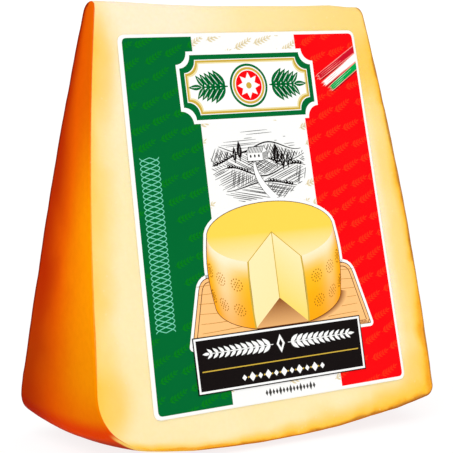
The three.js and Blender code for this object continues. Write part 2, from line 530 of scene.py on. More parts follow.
# %% Measures for the materials
PATCHES = [  # middle (x, distance from the wheel's axis), half width, half height, strength
    (-39.2, 27, 4.8, 14.0, 1.0),
    (-43.9, 80, 4.4, 6.5, 0.5),
    (-46.5, 106, 8.0, 9.0, 1.3),
    (38.4, 27, 5.0, 9.0, 1.1),
    (44.5, 109, 7.5, 8.5, 1.0),
    (-44.0, 61, 2.6, 7.0, 0.3),
    (45.5, 86, 3.0, 10.0, 0.35),
]
GOLD_DRAWS_BACK = [  # distance from the axis, how much narrower the golden band is there on the right
    (14, 1.6), (26, 0.8), (33, 0.0), (43, 0.9), (48, 1.0), (54, 0.1), (65, -0.1), (75, 0.4),
    (86, 0.1), (91, -0.8), (97, -1.2), (102, -0.4), (108, -1.1), (114, -1.3),
]
GOLD_ALONG_RIM = [  # x, how wide the golden band along the rim is there, as a share of its usual width
    (-24, 0.42), (-18, 0.5), (-9, 0.55), (-3, 0.6), (3, 0.9), (9, 0.92), (16, 1.14),
    (28, 1.2), (34, 1.7), (40, 1.3),
]
# The paler strip beside the label is painted light, a glow along the label's right edge.
PALE_STRIP_X = 34.15  # a paler strip beside the label: where it starts to fade at the axis, and its lean
PALE_STRIP_LEAN = 0.0498
FAR_AWAY = 99.0


def soft(value, start, end):
    """Goes smoothly from 0 to 1 as value goes from start to end."""
    t = np.clip((value - start) / (end - start), 0, 1)
    return t * t * (3 - 2 * t)


def drier_patches(x, from_axis_mm):
    total = np.zeros_like(x)
    for middle_x, middle_s, half_width_mm, half_height, strength in PATCHES:
        away = np.hypot((x - middle_x) / half_width_mm, (from_axis_mm - middle_s) / half_height)
        total = np.maximum(total, strength * (1 - soft(away, 0.35, 1.25)))
    return total


def cut_line_width(x, rim):
    """The brown line of cut rind starts left of the middle, and is widest on the right."""
    width = 0.55 + 0.2 * soft(-x, 9, 12) + 0.6 * soft(x, 4, 14) + 0.05 * soft(rim, 1, 6)
    return soft(x, -24, -14) * width


def measures_of(p):
    """What the materials read at every point, by name."""
    x, s = p[:, 0], from_axis(p)
    side, rim, through = depth_below_side(p), depth_below_rim(p), front_to_back(p)
    rim_in_widths = rim / listed(GOLD_ALONG_RIM, x)
    deep_gold = soft(x, -35, -27) * (1 - soft(x, -17, -9))
    left_of_strip = PALE_STRIP_X + PALE_STRIP_LEAN * s - x
    strip = soft(left_of_strip, -3.2, 0) * soft(s, 34, 50) * (1 - soft(s, 96, 106))
    from_point = s / WHEEL_RADIUS
    return {
        "below_rind": depth_below_rind(p),
        "cut_line": cut_line_width(x, rim),
        "from_left": np.where(x < 0, side + 5 * (1 - soft(s, 8, 24)), FAR_AWAY),
        "left_rind": soft(-x, 36, 39),
        "from_right": np.where(x > 0, side + listed(GOLD_DRAWS_BACK, s), FAR_AWAY),
        # painted light: a glow beside the label's right edge
        "glow_beside_label": np.where((x > 0) & (through < 0.5), strip, 0),
        "from_rim": rim_in_widths,
        "gold_line": rim_in_widths - 1.3 * deep_gold,
        "rim": rim,
        "top_right": soft(x, -16, 40) * (1 - soft(s, 18, 62)),
        # painted highlight: paler towards the top left of the cuts
        "highlight_top_left": soft(-x, -2, 20) * (1 - soft(s, 16, 60)) * (0.5 + 0.5 * soft(side, 1.5, 5.5)),
        "patches": drier_patches(x, s),
        "front_to_back": through,
        "from_point": from_point,
        "wrap": 0.65 * from_point**2 * (1 - soft(s, 90, 106)) - 0.1 * soft(s, 100, 112),
        "across": x / HALF_WIDTH_AT_RIM,
        "from_cut": depth_below_cuts(p),
    }


# %% The wedge as one mesh with two materials
def quads_of(numbers, middle):
    """The quads of one side of the lattice, facing out."""
    a, b, c, d = numbers[:-1, :-1], numbers[:-1, 1:], numbers[1:, 1:], numbers[1:, :-1]
    quads = np.stack([a, b, c, d], axis=-1).reshape(-1, 4)
    corner, right, low = relieved[quads[:, 0]], relieved[quads[:, 1]], relieved[quads[:, 3]]
    facing = (np.cross(right - corner, low - corner) * (corner - middle)).sum()
    return quads if facing > 0 else quads[:, ::-1]


def make_wedge(materials):
    middle = relieved.mean(axis=0)
    quads = {name: quads_of(numbers, middle) for name, (numbers, _) in SIDES.items()}
    mesh = bpy.data.meshes.new("wedge")
    faces = np.concatenate(list(quads.values()))
    mesh.from_pydata((relieved * MM).tolist(), [], faces.tolist())
    slots = [np.full(len(quads[name]), list(materials).index(kind)) for name, (_, kind) in SIDES.items()]
    mesh.polygons.foreach_set("material_index", np.concatenate(slots))
    mesh.polygons.foreach_set("use_smooth", np.ones(len(faces), bool))
    for name, values in measures_of(skin).items():
        mesh.attributes.new(name, "FLOAT", "POINT").data.foreach_set("value", values)
    for material in materials.values():
        mesh.materials.append(material)
    mesh.update()
    return add_object("cheese_wedge_skin", mesh)


# %% [markdown]
# ## The colour of the rind
# The rind is the skin of the wheel, dried and waxed. Its colour holds painted light and shade: it is
# most orange at its thin front edge, as painted light, and goes to a red brown towards the back, partly
# its own tone and partly painted shade. Towards the point it is redder. On the rim it is redder and
# darker, as painted shade, and painted shade also darkens its foot, its low back corner and thin lines
# along the rim and beside the back cut. The colour is a node group, because the paste needs it too: on
# the left the rind bends round the edge onto the cut, and on both cuts its edge shows.

# %% Node group: rind colour
# Orange is the painted light of the front edge. Amber and brown are partly the rind's own tone and partly
# painted shade. The shade, rim and edge colours are painted shade.
RIND_ORANGE = paint(255, 150, 0)
RIND_AMBER = paint(230, 90, 0)
RIND_BROWN = paint(180, 42, 1)
RIND_EDGE_SHADE = paint(136, 32, 2)
RIND_SHADE = paint(170, 88, 0)
POINT_RED = paint(230, 97, 0)
RIM_RED = paint(220, 60, 0)
RIM_BROWN = paint(168, 26, 1)


def make_rind_colour():
    group, _, result = new_group("rind colour", [], [("Colour", "NodeSocketColor")])
    cloud = drift(group, 18 * MM, 2.0)
    from_point, from_cut = measure(group, "from_point"), measure(group, "from_cut")
    through, rim = measure(group, "front_to_back"), measure(group, "rim")
    back = maths(group, "ADD", through, sway(group, cloud, 0.035))
    uneven_rim = maths(group, "ADD", rim, sway(group, cloud, 0.8))
    wide_rim = ramp(group, uneven_rim, 17, 3, 0.0, 0.45)
    narrow_rim = ramp(group, uneven_rim, 6.5, 2.5, 0.0, 0.55)
    # painted shade on the rim, low at the back, and beside the back cut
    rim_shade_colour = blend_colours(group, ramp(group, back, 0.35, 0.95), RIM_RED, RIM_BROWN)
    shade_low_back = product(group, ramp(group, from_point, 0.7, 0.95), ramp(group, back, 0.7, 1.0), 0.4)
    shade_by_back_cut = product(group, ramp(group, from_cut, 1.7, 0.8), ramp(group, through, 0.5, 0.6))
    coats = [
        (ramp(group, from_point, 0.56, 0.26), POINT_RED),
        # darker towards the back: partly the rind's own tone, partly painted shade
        (ramp(group, back, 0.05, 0.65), RIND_AMBER),
        (ramp(group, back, 0.45, 0.93), RIND_BROWN),
        # painted shade towards the foot
        (ramp(group, from_point, 0.62, 0.86, 0.0, 0.24), RIND_SHADE),
        # painted shade on the rim, which faces down
        (maths(group, "ADD", wide_rim, narrow_rim), rim_shade_colour),
        # painted shade: low at the back, in a thin line along the rim, and beside the back cut
        (shade_low_back, RIND_EDGE_SHADE),
        (ramp(group, rim, 2.6, 0.1, 0.0, 0.8), RIND_EDGE_SHADE),
        (shade_by_back_cut, RIND_EDGE_SHADE),
    ]
    group.links.new(coat_over(group, RIND_ORANGE, coats), result.inputs["Colour"])
    return group


RIND_COLOUR = make_rind_colour()
print("node group:", RIND_COLOUR.name)


def rind_colour(tree):
    return add_node(tree, "ShaderNodeGroup", node_tree=RIND_COLOUR).outputs["Colour"]


# %% [markdown]
# ## Two finishes for the wedge
# The paste is the pale inside. Light enters it and comes out a little further on, which softens every
# edge, so it has some subsurface scattering. It starts as a cream colour and is painted over in bands,
# each closer to the rind and deeper than the last: butter, yellow, gold, and the line where the rind
# itself was cut through. A drift of tone moves the bands' borders a little, so that none of them runs
# like a ruled line. A few pale crystals show close up, as in any long-ripened hard cheese.

# %% Paste
CREAM = paint(253, 233, 184)
PALE_CREAM = paint(254, 238, 208)
BUTTER = paint(250, 215, 124)
YELLOW = paint(252, 196, 40)
GOLD = paint(242, 162, 10)
CUT_RIND = paint(172, 102, 14)
CRYSTAL = paint(255, 247, 226)


def make_paste():
    material, tree, shader = new_material(
        "paste", roughness=0.46, specular=0.16,
        Subsurface_Weight=0.25, Subsurface_Radius=(1.0, 0.55, 0.22), Subsurface_Scale=1.6 * MM,
    )
    wide_sway = sway(tree, drift(tree, 13 * MM, 4.0), 1.1)
    narrow_sway = sway(tree, drift(tree, 7 * MM, 1.0), 0.35)

    def share_of(name, strength):
        return product(tree, measure(tree, name), strength)

    def band(name, start, end, border, strength=1.0):
        """A mask that is full where the measure is below start and zero beyond end, in millimetres."""
        value = maths(tree, "ADD", measure(tree, name), border)
        return ramp(tree, value, end, start, 0.0, strength)

    below = measure(tree, "below_rind")
    uneven = maths(tree, "ADD", below, product(tree, narrow_sway, 0.6))
    past_cut_line = maths(tree, "SUBTRACT", uneven, measure(tree, "cut_line"))
    wrapped = maths(tree, "SUBTRACT", below, measure(tree, "wrap"))
    fine = grain(tree, 1.1 * MM)
    coats = [
        (ramp(tree, drift(tree, 21 * MM), 0, 1, 0.0, 0.16), BUTTER),
        # painted highlight at the top left
        (share_of("highlight_top_left", 0.9), PALE_CREAM),
        (share_of("top_right", 0.95), BUTTER),
        (band("from_left", 0.5, 9.0, wide_sway), BUTTER),
        (band("from_right", 1.5, 12.0, wide_sway), BUTTER),
        (band("from_rim", 0.0, 7.2, wide_sway), BUTTER),
        (share_of("patches", 0.5), YELLOW),
        # painted light: a glow beside the label
        (share_of("glow_beside_label", 0.5), PALE_CREAM),
        (band("from_left", -1.0, 2.6, narrow_sway, 0.6), YELLOW),
        (band("from_right", 0.8, 3.6, narrow_sway), YELLOW),
        (band("from_rim", 0.0, 5.2, narrow_sway), YELLOW),
        (band("from_right", 0.3, 2.1, narrow_sway), GOLD),
        (band("gold_line", 0.2, 1.6, narrow_sway), GOLD),
        (ramp(tree, past_cut_line, 0.0, -0.8, 0.0, 0.9), CUT_RIND),
        (product(tree, ramp(tree, wrapped, 0.42, 0.3), measure(tree, "left_rind")), rind_colour(tree)),
        (product(tree, fine["Crystals"], 0.09), CRYSTAL),
        (mottle(tree, fine, 0.0, 0.1), BUTTER),
    ]
    colour = coat_over(tree, CREAM, coats)
    finish_surface(tree, shader, colour, fine, roughness=(0.4, 0.52), bumps=(0.25, 0.06 * MM))
    return material


# %% [markdown]
# The wax on the rind is smooth, with only the slightest shine. Where it meets the front cut it is rubbed
# thin. Along the rim this strip is golden at its left end and brown from about 25 mm left of the middle
# on, and it runs on up the right side, beside the line of cut rind that the cut itself shows.

# %% Rind
RUBBED_YELLOW = paint(244, 200, 100)
RUBBED_GOLD = paint(236, 172, 50)
RUBBED_BROWN = paint(194, 114, 6)
RUBBED_DARK = paint(160, 92, 14)


def make_rind():
    material, tree, shader = new_material(
        "rind", roughness=0.42, specular=0.001,
        Subsurface_Weight=0.1, Subsurface_Radius=(1.0, 0.3, 0.08), Subsurface_Scale=1.2 * MM,
    )
    across, through = measure(tree, "across"), measure(tree, "front_to_back")
    rubbed_coats = [
        (ramp(tree, across, -0.9, -0.6), RUBBED_GOLD),
        (ramp(tree, across, -0.52, -0.42), RUBBED_BROWN),
        (ramp(tree, across, 0.5, 0.95), RUBBED_DARK),
    ]
    rubbed = coat_over(tree, RUBBED_YELLOW, rubbed_coats)
    by_cut = product(tree, ramp(tree, measure(tree, "from_cut"), 2.6, 0.9), ramp(tree, through, 0.5, 0.4))
    past_corner = ramp(tree, across, -0.935, -0.885)
    on_rim = ramp(tree, measure(tree, "rim"), 6.0, 3.0)
    on_rim_or_right = maths(tree, "MAXIMUM", on_rim, ramp(tree, across, -0.3, 0.0))
    fine = grain(tree, 1.7 * MM)
    coats = [
        (product(tree, by_cut, past_corner, on_rim_or_right), rubbed),
        (mottle(tree, fine, 0.0, 0.06, start=0.35), RIND_BROWN),
    ]
    colour = coat_over(tree, rind_colour(tree), coats)
    finish_surface(tree, shader, colour, fine, roughness=(0.34, 0.48), bumps=(0.2, 0.05 * MM))
    return material


wedge = make_wedge({"paste": make_paste(), "rind": make_rind()})
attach(wedge, BODY)
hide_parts("cheese_wedge")
print("wedge:", len(wedge.data.vertices), "points,", len(wedge.data.polygons), "quads")

# %% [markdown]
# ## The label sheet
# The label is a rounded, slightly tapered sheet of coated paper, stuck to the middle of the front cut.
# Everything on it is drawn in its own flat coordinates: millimetres right and up from its middle, and a
# height above the cut. One matrix carries them onto the wedge. The sheet's edge is turned down onto the
# cheese in a few steps, as a stuck sheet looks, instead of standing up like a cut tile.

# %% Where the label is
LABEL_WIDTH = 71.6
LABEL_HEIGHT = 91.5
LABEL_TAPER = 0.067
LABEL_CORNER = 2.0
LABEL_FACE = 0.6  # height of the label's face above the cut
LABEL_BACK = 0.1  # height of its back
LABEL_CENTRE_X = 1.55
LABEL_CENTRE_FROM_POINT = 64.6
LABEL_TURN = math.radians(1.35)
LABEL_CENTRE = Vector((
    LABEL_CENTRE_X,
    -LABEL_CENTRE_FROM_POINT * math.sin(HALF_ANGLE),
    AXIS_HEIGHT - LABEL_CENTRE_FROM_POINT * math.cos(HALF_ANGLE),
))
LABEL_PLACE = (
    Matrix.Translation(LABEL_CENTRE * MM)
    @ Matrix.Rotation(math.pi / 2 - HALF_ANGLE, 4, "X")
    @ Matrix.Rotation(LABEL_TURN, 4, "Z")
    @ Matrix.Scale(MM, 4)
)


# %% Outlines and plates
def rounded(corners, steps=6):
    """The outline through corners (x, y, rounding), each rounded by a quadratic curve."""
    outline = []
    for i, (x, y, rounding) in enumerate(corners):
        here = Vector((x, y))
        before, after = (Vector(corners[j % len(corners)][:2]) for j in (i - 1, i + 1))
        start = here + (before - here).normalized() * rounding
        end = here + (after - here).normalized() * rounding
        for k in range(steps + 1 if rounding else 1):
            t = k / steps
            outline.append(start * (1 - t) ** 2 + here * 2 * t * (1 - t) + end * t * t)
    return outline


def inset(outline, distance):
    """The outline moved in by a distance, or out by a negative one. The outline runs anticlockwise."""
    moved = []
    for i, here in enumerate(outline):
        along = outline[(i + 1) % len(outline)] - outline[i - 1]
        moved.append(here + Vector((-along.y, along.x)).normalized() * distance)
    return moved


def add_walls(bm, lower, upper):
    for i in range(len(lower)):
        j = (i + 1) % len(lower)
        bm.faces.new((lower[i], lower[j], upper[j], upper[i]))


def add_stack(bm, layers):
    """A closed body through outlines (points, height), from the lowest to the highest."""
    rings = [[bm.verts.new((x, y, height)) for x, y in outline] for outline, height in layers]
    bm.faces.new(reversed(rings[0]))
    for lower, upper in zip(rings, rings[1:]):
        add_walls(bm, lower, upper)
    bm.faces.new(rings[-1])


def mesh_of(bm, name, material):
    mesh = bpy.data.meshes.new(name)
    bm.to_mesh(mesh)
    bm.free()
    mesh.materials.append(material)
    return mesh


def onto_label(bm, name, material):
    """Makes the drawn bodies a piece on the label."""
    bm.transform(LABEL_PLACE)
    piece = add_object(name, mesh_of(bm, name, material))
    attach(piece, BODY)
    return piece


# %% Paper and its sheet
PAPER_WHITE = paint(250, 250, 248)
PAPER_SHADE = paint(243, 243, 238)
TURNED_EDGE = [  # distance in from the sheet's outline, height above the cut
    (0.0, LABEL_BACK),
    (0.0, 0.28),
    (0.1, 0.45),
    (0.28, 0.56),
    (0.5, LABEL_FACE),
]


def make_paper():
    material, tree, shader = new_material("coated paper", roughness=0.35, specular=0.3)
    fine = grain(tree, 0.5 * MM)
    colour = blend_colours(tree, mottle(tree, fine, 0.0, 0.25), PAPER_WHITE, PAPER_SHADE)
    finish_surface(tree, shader, colour, fine, roughness=(0.3, 0.4), bumps=(0.1, 0.02 * MM))
    return material


def make_sheet():
    top, foot = (LABEL_WIDTH / 2 * (1 + sign * LABEL_TAPER / 2) for sign in (-1, 1))
    half = LABEL_HEIGHT / 2
    corners = [(-foot, -half), (foot, -half), (top, half), (-top, half)]
    outline = rounded([(x, y, LABEL_CORNER) for x, y in corners])
    bm = bmesh.new()
    add_stack(bm, [(inset(outline, step), height) for step, height in TURNED_EDGE])
    return onto_label(bm, "label_sheet", make_paper())


sheet = make_sheet()
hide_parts("label")
print("label sheet:", len(sheet.data.polygons), "faces")

# %% [markdown]
# ## Ink as thin closed plates
# A printed label could be one picture, but flat shapes stay sharp at any distance and each colour can be
# its own finish. So every colour is a piece made of closed plates. They are a few hundredths of a
# millimetre high, and what is printed later stands a step higher, up to a quarter of a millimetre. The
# plates come from a handful of outline functions: a field with rounded corners, a drawn line, a leaf and
# a twig.

# %% Drawing tools, in label millimetres
INK_STEP = 0.012
INK_FOOT = LABEL_FACE - 0.02  # just inside the sheet, so that no gap shows
FIELD_LEVEL, TWIG_LEVEL, FINE_LEVEL = 1, 2, 3  # how many steps high the lowest parts of the print are


def anticlockwise(outline):
    pairs = zip(outline, outline[1:] + outline[:1])
    turn = sum(a.x * b.y - b.x * a.y for a, b in pairs)
    return outline if turn > 0 else outline[::-1]


def add_plate(bm, outline, level):
    """A plate on the sheet, so many ink steps high."""
    outline = anticlockwise([Vector(point) for point in outline])
    add_stack(bm, [(outline, INK_FOOT), (outline, LABEL_FACE + INK_STEP * level)])


def stroke(points, width, ends=1.0):
    """The outline of a line drawn through points. Towards its ends its width goes to the share `ends`."""
    points = [Vector(point) for point in points]
    last = len(points) - 1
    right, left = [], []
    for i, here in enumerate(points):
        along = (points[min(i + 1, last)] - points[max(i - 1, 0)]).normalized()
        share = ends + (1 - ends) * math.sin(math.pi * i / last)
        across = Vector((-along.y, along.x)) * width / 2 * share
        right.append(here - across)
        left.append(here + across)
    return right + left[::-1]


def dash(start, way, width, ends=1.0):
    """The outline of a straight stroke from its start."""
    return stroke([start, start + Vector(way)], width, ends)


def curve(place_at, steps):
    return [Vector(place_at(i / steps)) for i in range(steps + 1)]


def turned(point, angle):
    return Vector((
        point[0] * math.cos(angle) - point[1] * math.sin(angle),
        point[0] * math.sin(angle) + point[1] * math.cos(angle),
    ))


def leaf(base, angle, length, width, steps=7):
    """A leaf from its base to its tip, widest a little before its middle."""
    ribs = [i / steps for i in range(steps + 1)]
    lower = [(t * length, -width / 2 * math.sin(math.pi * t**0.8)) for t in ribs[1:-1]]
    outline = [(0, 0), *lower, (length, 0), *[(x, -y) for x, y in reversed(lower)]]
    return [Vector(base) + turned(point, angle) for point in outline]


def twig(base, angle, length, pairs, leaf_length, leaf_width, bend=0.0, stem=0.22, spread=38):
    """A thin stem with leaves on both sides and one at its tip, as a list of outlines."""
    def along(t):
        return Vector(base) + turned((t * length, bend * length * t * t), angle)

    outlines = [stroke(curve(along, 10), stem, 0.5)]
    for i in range(pairs):
        t = (i + 0.5) / pairs
        lean = angle + math.atan(2 * bend * t)
        size = 1 - 0.35 * t
        for side in (-1, 1):
            aside = side * math.radians(spread)
            outlines.append(leaf(along(t), lean + aside, leaf_length * size, leaf_width * size))
    outlines.append(leaf(along(1), angle + math.atan(2 * bend), leaf_length * 0.7, leaf_width * 0.7))
    return outlines


def diamond(x, y, width, height):
    return [(x - width / 2, y), (x, y - height / 2), (x + width / 2, y), (x, y + height / 2)]


def disc(x, y, radius_x, radius_y=None, *, steps):
    radius_y = radius_x if radius_y is None else radius_y
    turns = [2 * math.pi * i / steps for i in range(steps)]
    return [(x + radius_x * math.cos(a), y + radius_y * math.sin(a)) for a in turns]


# %% Inks
INK_ROUGHNESS = (0.29, 0.4)
INK_GRAIN = 0.35 * MM
INKS = {  # the fresh colour and the worn one
    "green": ((0, 104, 48), (0, 112, 46)),
    "red": ((248, 6, 15), (242, 18, 17)),
    "black": ((20, 15, 15), (34, 26, 24)),
    "white": ((252, 252, 250), (242, 244, 240)),
    "gold": ((205, 170, 60), (214, 186, 96)),
    "leaf_green": ((4, 124, 26), (6, 114, 36)),
    "pale_gold": ((236, 222, 168), (240, 226, 170)),
    "straw": ((228, 212, 172), (236, 222, 186)),
    "orange": ((252, 46, 20), (250, 30, 18)),
    "teal": ((120, 214, 182), (96, 198, 162)),
    "bright_green": ((0, 165, 76), (0, 150, 70)),
    "pink": ((255, 150, 140), (250, 120, 116)),
    "crimson": ((206, 14, 40), (190, 12, 30)),
    "dark_red": ((160, 8, 20), (176, 10, 22)),
    "grey": ((60, 58, 56), (84, 80, 78)),
    "tan": ((255, 196, 128), (250, 182, 108)),
    "brown": ((96, 46, 16), (130, 70, 30)),
    "bronze": ((176, 116, 18), (190, 130, 30)),
    "pale_green": ((170, 232, 190), (140, 216, 168)),
}


def make_ink(name, fresh, worn):
    """A flat printed colour with a little unevenness, towards its worn shade."""
    material, tree, shader = new_material(name + " ink", roughness=0.34, specular=0.025)
    fine = grain(tree, INK_GRAIN)
    share = product(tree, mottle(tree, fine, 0.0, 0.3, start=0.35), drift(tree, 9 * MM))
    colour = blend_colours(tree, share, paint(*fresh), paint(*worn))
    finish_surface(tree, shader, colour, fine, INK_ROUGHNESS, bumps=(0.06, 0.01 * MM))
    return material


inks = {name: make_ink(name.replace("_", " "), *colours) for name, colours in INKS.items()}
plates = {name: bmesh.new() for name in inks}


def draw(ink, level, *outlines):
    for outline in outlines:
        add_plate(plates[ink], outline, level)


print("inks:", ", ".join(inks))

# %% [markdown]
# ## Three fields of colour
# The ground of the print is a plain tricolour: a green and a red field with bare white paper between
# them. It stops a millimetre short of the sheet's edge, and only its four outer corners are rounded. One
# pattern of little twigs, in rows that rise to the right, runs over all three fields. Each field has it
# in an ink that is only a shade away from its ground, so every twig is clipped to the field that it falls
# on.

# %% Fields
INK_MARGIN = 0.93
INK_HEIGHT = 89.7
INK_CORNER = 1.3


def ink_edge(y):
    """How far the print reaches to either side at a height."""
    return LABEL_WIDTH / 2 * (1 - LABEL_TAPER * y / LABEL_HEIGHT) - INK_MARGIN


def green_end(y):
    return -15.1 + 0.01 * y


def red_start(y):
    return 16.2 - 0.0145 * y


def draw_field(ink, left_at, right_at, roundings):
    foot, top = -INK_HEIGHT / 2, INK_HEIGHT / 2
    corners = [(left_at(foot), foot), (right_at(foot), foot), (right_at(top), top), (left_at(top), top)]
    draw(ink, FIELD_LEVEL, rounded([(x, y, rounding) for (x, y), rounding in zip(corners, roundings)]))


draw_field("green", lambda y: -ink_edge(y), green_end, [INK_CORNER, 0, 0, INK_CORNER])
draw_field("red", red_start, ink_edge, [0, INK_CORNER, INK_CORNER, 0])
print("white paper between the fields, mm:", round(red_start(0) - green_end(0), 1))

# %% Rows of twigs
TWIG_ROWS = 23
TWIG_COLUMNS = 13
TWIG_PITCH = 4.95
TWIG_REACH = 6.0  # from one twig's foot to the next one's
TWIG_RISE = math.radians(16)
TWIG_LENGTH = 4.9
TWIG_SHAPE = {"pairs": 5, "leaf_length": 1.65, "leaf_width": 0.5, "bend": 0.12}
TWIG_MARGIN = 0.12
TWIG_JITTER = (0.3, 0.35, 0.12)  # how much x, y and the rise of a twig vary either way
TWIG_STAGGER = 0.37  # how much further right each of three rows starts, as a share of TWIG_REACH
TWIG_INKS = {  # ink, and the two sides of its field
    "leaf_green": (lambda y: -ink_edge(y), green_end),
    "straw": (green_end, red_start),
    "orange": (red_start, ink_edge),
}
VIEW_CENTRE = Vector((0.5, 12.3))
VIEW_CLEARING = Vector((16.0, 11.0))  # the oval round the engraving that stays free of twigs
NO_TWIGS = [  # left, foot, right, top: under the pictures, and where the braid and the small marks go
    (-16, 27, 16, 38),
    (-13, -25, 16, -1),
    (-21, -39, 21, -30),
    (-35, -27.5, -26, 17.5),
    (-9.2, -46, 12, -41),
]


def in_ellipse(x, y, centre, reach):
    return ((x - centre[0]) / reach[0]) ** 2 + ((y - centre[1]) / reach[1]) ** 2 < 1


def clip(outline, inside):
    """The part of an outline that lies inside, where inside gives a point's distance from a straight edge."""
    kept = []
    for here, after in zip(outline, outline[1:] + outline[:1]):
        a, b = inside(here), inside(after)
        if a > 0:
            kept.append(here)
        if a * b < 0:
            kept.append(here.lerp(after, a / (a - b)))
    return kept


def clip_to_field(outline, left_at, right_at):
    edges = (
        lambda p: p.x - left_at(p.y) - TWIG_MARGIN,
        lambda p: right_at(p.y) - p.x - TWIG_MARGIN,
        lambda p: INK_HEIGHT / 2 - abs(p.y) - TWIG_MARGIN,
    )
    for inside in edges:
        outline = clip(outline, inside)
    return outline


def free_for_twigs(x, y):
    in_box = any(left < x < right and foot < y < top for left, foot, right, top in NO_TWIGS)
    return not in_box and not in_ellipse(x, y, VIEW_CENTRE, VIEW_CLEARING)


def draw_clipped(outline):
    """Draws the part of an outline that falls on each field, in that field's ink."""
    for ink, sides in TWIG_INKS.items():
        part = clip_to_field(outline, *sides)
        if len(part) > 3:
            draw(ink, TWIG_LEVEL, part)


def draw_twig_pattern():
    pick = random.Random(5)
    for row in range(TWIG_ROWS):
        for column in range(TWIG_COLUMNS):
            more_x, more_y, more_rise = (pick.uniform(-most, most) for most in TWIG_JITTER)
            x = (column - TWIG_COLUMNS / 2 + TWIG_STAGGER * (row % 3)) * TWIG_REACH + more_x
            y = (TWIG_ROWS / 2 - row) * TWIG_PITCH + x * math.tan(TWIG_RISE) + more_y
            rise = TWIG_RISE + more_rise
            if free_for_twigs(x + TWIG_LENGTH / 2, y + 1):
                for outline in twig((x, y), rise, TWIG_LENGTH, **TWIG_SHAPE):
                    draw_clipped(outline)


draw_twig_pattern()
print("twig plates:", sum(len(plates[name].faces) for name in TWIG_INKS), "faces")

# %% [markdown]
# ## Emblem
# The head of the label carries a plain ornament: a cartouche with scooped corners, outlined in green and
# gold, and in it two bold laurel twigs that spread from a medallion with a compass star. It is drawn from
# the outside in, each field a little smaller and one step higher than the last. The leaves get a white
# vein, as a wood cut has.

# %% Cartouche, medallion and laurel
EMBLEM = Vector((0.2, 32.3))
EMBLEM_WIDTH, EMBLEM_HEIGHT, EMBLEM_SCOOP = 38.4, 16.0, 3.2
CARTOUCHE = [  # ink, how far inside the outline
    ("white", -0.9),
    ("green", 0.0),
    ("white", 1.2),
    ("gold", 1.4),
    ("pale_gold", 1.9),
    ("white", 2.25),
]
MEDALLION = [("green", 5.5), ("white", 4.9), ("gold", 4.6), ("white", 4.0), ("red", 3.75)]  # ink, radius
STAR_RADIUS = 3.3
LAUREL_SHAPE = {"length": 7.4, "pairs": 5, "leaf_length": 5.5, "leaf_width": 2.0, "stem": 0.6, "spread": 52}
LAUREL_START = 6.1  # from the middle of the medallion
MEDALLION_LEVEL = FINE_LEVEL + len(CARTOUCHE)
STAR_LEVEL = MEDALLION_LEVEL + len(MEDALLION)


def scooped(centre, width, height, scoop, steps=8):
    """A rectangle with a quarter circle taken out of each corner."""
    outline = []
    for quarter, (side_x, side_y) in enumerate(((-1, -1), (1, -1), (1, 1), (-1, 1))):
        for k in range(steps + 1):
            angle = math.pi / 2 * (1 + quarter - k / steps)
            corner = Vector((side_x * width / 2, side_y * height / 2))
            outline.append(centre + corner + Vector((math.cos(angle), math.sin(angle))) * scoop)
    return outline


def star(centre, radius, points=8, waist=0.58):
    turns = [math.pi / 2 + math.pi * i / points for i in range(2 * points)]
    sizes = [radius, radius * waist] * points
    return [centre + Vector((math.cos(a), math.sin(a))) * size for a, size in zip(turns, sizes)]


def draw_laurel(foot, angle, level):
    """A bold twig whose leaves have a white vein."""
    stem, *leaves = twig(foot, angle, **LAUREL_SHAPE)
    draw("green", level, stem, *leaves)
    for outline in leaves:
        base, tip = outline[0], outline[len(outline) // 2]
        draw("white", level + 1, stroke([base.lerp(tip, share) for share in (0.2, 0.5, 0.8)], 0.17, 0.4))


def draw_emblem():
    for level, (ink, step) in enumerate(CARTOUCHE, start=FINE_LEVEL):
        size = (EMBLEM_WIDTH - 2 * step, EMBLEM_HEIGHT - 2 * step)
        draw(ink, level, scooped(EMBLEM, *size, EMBLEM_SCOOP))
    for level, (ink, radius) in enumerate(MEDALLION, start=MEDALLION_LEVEL):
        draw(ink, level, disc(*EMBLEM, radius, steps=48))
    draw("white", STAR_LEVEL, star(EMBLEM, STAR_RADIUS))
    draw("gold", STAR_LEVEL + 1, disc(*EMBLEM, 0.8, steps=16))
    for angle in (0, math.pi):
        draw_laurel(EMBLEM + turned((LAUREL_START, 0), angle), angle, MEDALLION_LEVEL)


draw_emblem()
print("emblem:", EMBLEM_WIDTH, "by", EMBLEM_HEIGHT, "mm")

# %% [markdown]
# ## A little engraving
# Below the emblem stands a small landscape in fine black lines, as on many food labels: hills one behind
# the other, hedges, cypresses and a farmhouse. An engraver shades with many thin strokes. Here each hill
# is hatched in a direction of its own, and the slopes that face away from the light are hatched twice.
# One function does it all: it draws parallel lines over the oval and keeps the stretches that a rule
# accepts.

# %% Hatching
VIEW_REACH = Vector((14.4, 9.9))
LINE_STEP = 0.4
MASS_LEVEL, LIGHT_LEVEL, DETAIL_LEVEL = 4, 5, 6  # masses cover the lines, lights and details lie on them
engraver = random.Random(7)


def in_view(point, shrink):
    x, y = (point[i] / (VIEW_REACH[i] * shrink) for i in (0, 1))
    return x * x + y * y < 1


def draw_pieces(points, width, ragged=0.2, keep=lambda x, y: True):
    """Draws the stretches of a line that lie in the oval and where keep says so. Their ends are ragged."""
    run = []
    shrink = 1 - engraver.uniform(0, ragged)
    for point in [*points, (math.inf, 0)]:
        if in_view(point, shrink) and keep(*point):
            run.append(VIEW_CENTRE + Vector(point))
            continue
        if len(run) > 2:
            draw("black", FINE_LEVEL, stroke(run, width, 0.35))
        run = []


